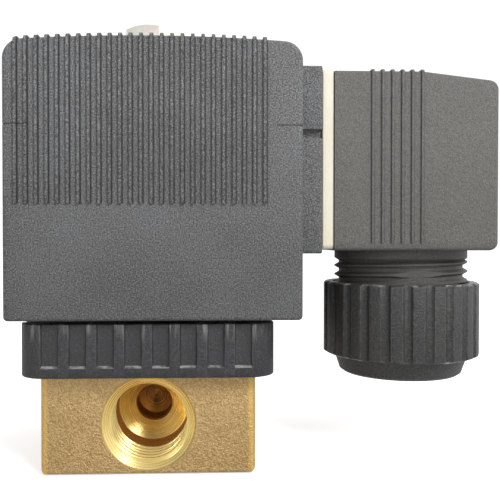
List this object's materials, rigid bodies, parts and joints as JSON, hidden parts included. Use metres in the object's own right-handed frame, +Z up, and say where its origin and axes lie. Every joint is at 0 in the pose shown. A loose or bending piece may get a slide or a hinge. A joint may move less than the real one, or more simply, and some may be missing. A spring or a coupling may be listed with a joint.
{
  "type": "solenoid valve",
  "caption": "Direct-acting solenoid valve: square brass body with threaded ports, ribbed collar, moulded coil on a guide tube, and a square plug-on connector with a cable gland.",
  "frame": {"origin": "centre of the brass body's underside", "axes": "+Z up along the guide tube, +X toward the electrical plug, the ports open along -Y and +Y"},
  "size_m": [0.076, 0.0402, 0.0703],
  "materials": {
    "brass_body": "sand-blasted brass, machined bright inside the ports",
    "plain_brass": "machined brass",
    "coil_plastic": "dark grey moulded plastic, fine grain",
    "collar_plastic": "black moulded plastic, satin, edges worn pale",
    "gland_plastic": "black moulded plastic, satin",
    "plug_plastic": "warm dark grey moulded plastic, fine grain",
    "carrier_plastic": "grey moulded plastic",
    "gasket_cream": "cream rubber sheet",
    "black_rubber": "black rubber",
    "stainless": "turned stainless steel",
    "spring_steel": "drawn spring wire",
    "yoke_steel": "rolled steel strip",
    "tinned_blade": "tinned sheet",
    "zinc_yellow": "steel with a pale yellow zinc passivation",
    "copper_wire": "enamelled copper wire",
    "copper_ring": "turned copper",
    "bobbin_nylon": "natural nylon"
  },
  "bodies": {
    "valve": {"valve_body": "brass_body", "tube_oring": "black_rubber", "flange_collar": "collar_plastic", "collar_screw_1": "stainless", "collar_screw_2": "stainless", "collar_screw_3": "stainless", "collar_screw_4": "stainless", "armature_tube": "stainless", "fixed_core": "stainless", "shading_ring": "copper_ring", "return_spring": "spring_steel"},
    "plunger": {"plunger": "stainless", "plunger_seal": "black_rubber"},
    "coil": {"coil_housing": "coil_plastic", "coil_seal_lower": "black_rubber", "coil_seal_upper": "black_rubber", "magnet_yoke": "yoke_steel", "yoke_top_plate": "yoke_steel", "coil_bobbin": "bobbin_nylon", "coil_winding": "copper_wire", "contact_blade_a": "tinned_blade", "contact_blade_b": "tinned_blade", "earth_blade": "tinned_blade", "screw_bush": "plain_brass"},
    "coil_washer": {"coil_washer": "zinc_yellow"},
    "coil_nut": {"coil_nut": "zinc_yellow"},
    "plug": {"profile_gasket": "gasket_cream", "plug_housing": "plug_plastic", "contact_carrier": "carrier_plastic", "plug_contact_a": "plain_brass", "plug_contact_b": "plain_brass", "plug_contact_earth": "plain_brass", "terminal_screw_a": "zinc_yellow", "terminal_screw_b": "zinc_yellow", "terminal_screw_earth": "zinc_yellow", "cable_grommet": "black_rubber"},
    "plug_screw": {"plug_fixing_screw": "zinc_yellow", "screw_seal": "black_rubber"},
    "gland_ring": {"thrust_ring": "bobbin_nylon"},
    "gland_nut": {"gland_nut": "gland_plastic"}
  },
  "joints": [
    {"name": "plunger_lift", "type": "slide", "parent": "valve", "child": "plunger", "axis": [0, 0, 1], "range_m": [0, 0.0018], "stiffness_N_per_m": 500, "springref_m": -0.006, "deforming": ["return_spring"]},
    {"name": "coil_turn", "type": "hinge", "parent": "valve", "child": "coil", "pos_m": [0, 0, 0.0435], "axis": [0, 0, 1], "continuous": true},
    {"name": "coil_nut_travel", "type": "slide", "parent": "valve", "child": "coil_washer", "axis": [0, 0, 1], "range_m": [0, 0.004]},
    {"name": "coil_nut_turn", "type": "hinge", "parent": "coil_washer", "child": "coil_nut", "pos_m": [0, 0, 0.068], "axis": [0, 0, 1], "range_deg": [0, 1441]},
    {"name": "plug_pull", "type": "slide", "parent": "coil", "child": "plug", "axis": [1, 0, 0], "range_m": [0, 0.02]},
    {"name": "plug_screw_turn", "type": "hinge", "parent": "plug", "child": "plug_screw", "pos_m": [0.05, 0, 0.047], "axis": [1, 0, 0], "continuous": true},
    {"name": "gland_travel", "type": "slide", "parent": "plug", "child": "gland_ring", "axis": [0, 0, 1], "range_m": [-0.0045, 0.0022], "deforming": ["cable_grommet"]},
    {"name": "gland_nut_turn", "type": "hinge", "parent": "gland_ring", "child": "gland_nut", "pos_m": [0.0425, 0, 0.02], "axis": [0, 0, 1], "range_deg": [-1081, 541]}
  ],
  "couplings": [
    {"joint": "coil_nut_turn", "follows": "coil_nut_travel", "rad_per_m": 6283.2},
    {"joint": "gland_nut_turn", "follows": "gland_travel", "rad_per_m": 4188.8}
  ]
}
